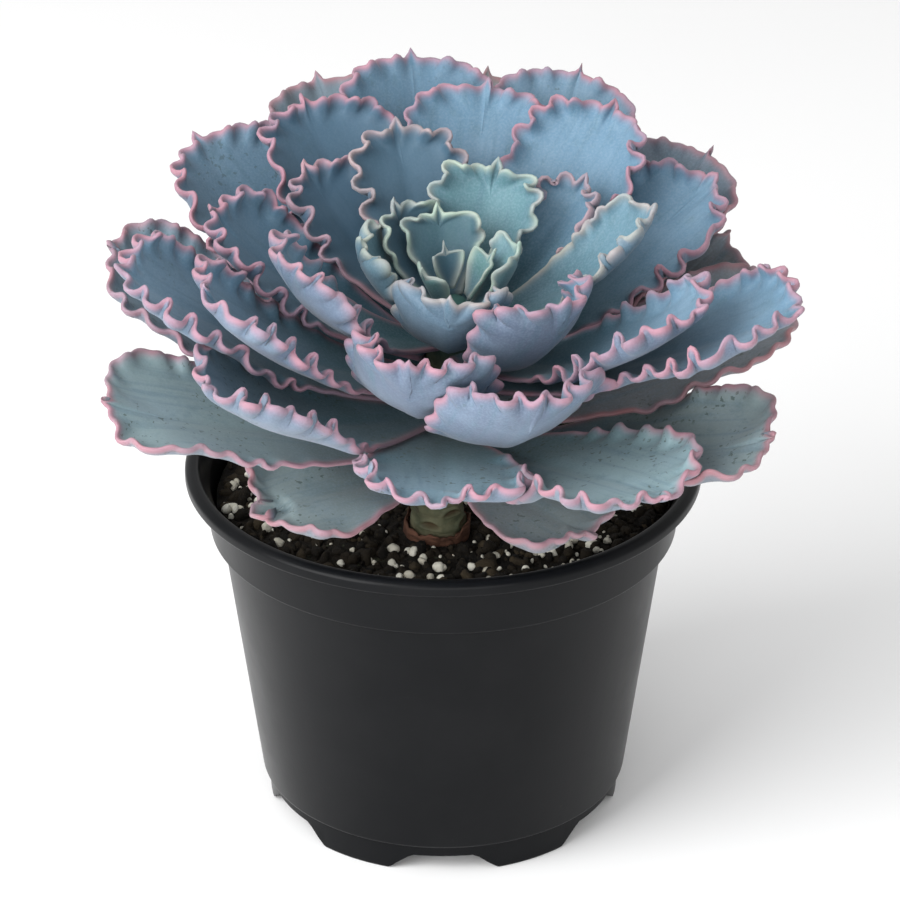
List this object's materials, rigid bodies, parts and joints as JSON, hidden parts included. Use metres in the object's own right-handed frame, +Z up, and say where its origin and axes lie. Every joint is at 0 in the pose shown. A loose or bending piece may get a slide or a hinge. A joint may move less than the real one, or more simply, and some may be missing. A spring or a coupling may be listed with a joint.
{
  "type": "potted succulent",
  "caption": "Ruffled echeveria rosette on a short leaning stem, growing in soil in a round black nursery pot with a rolled lip and a notched foot.",
  "frame": {"origin": "middle of the pot's underside, on the surface it stands on", "axes": "+Z up along the pot's axis; -Y is the front, towards which the rosette leans; +X is to the right seen from the front"},
  "size_m": [0.2007, 0.1908, 0.2256],
  "materials": {
    "pot_plastic": "satin",
    "soil": "matte",
    "stem": "matte",
    "leaf": "matte"
  },
  "bodies": {
    "root": {"pot": "pot_plastic", "soil": "soil", "stem": "stem", "leaf_01": "leaf", "leaf_02": "leaf", "leaf_03": "leaf", "leaf_04": "leaf", "leaf_05": "leaf", "leaf_06": "leaf", "leaf_07": "leaf", "leaf_08": "leaf", "leaf_09": "leaf", "leaf_10": "leaf", "leaf_11": "leaf", "leaf_12": "leaf", "leaf_13": "leaf", "leaf_14": "leaf", "leaf_15": "leaf", "leaf_16": "leaf", "leaf_17": "leaf", "leaf_18": "leaf", "leaf_19": "leaf", "leaf_20": "leaf", "leaf_21": "leaf", "leaf_22": "leaf", "leaf_23": "leaf", "leaf_24": "leaf", "leaf_25": "leaf", "leaf_26": "leaf", "leaf_27": "leaf", "leaf_28": "leaf", "leaf_29": "leaf", "leaf_30": "leaf", "leaf_31": "leaf", "leaf_32": "leaf", "leaf_33": "leaf", "leaf_34": "leaf", "leaf_35": "leaf", "leaf_36": "leaf", "leaf_37": "leaf", "leaf_38": "leaf", "leaf_39": "leaf", "leaf_40": "leaf", "leaf_41": "leaf", "leaf_42": "leaf", "leaf_43": "leaf"}
  },
  "joints": []
}
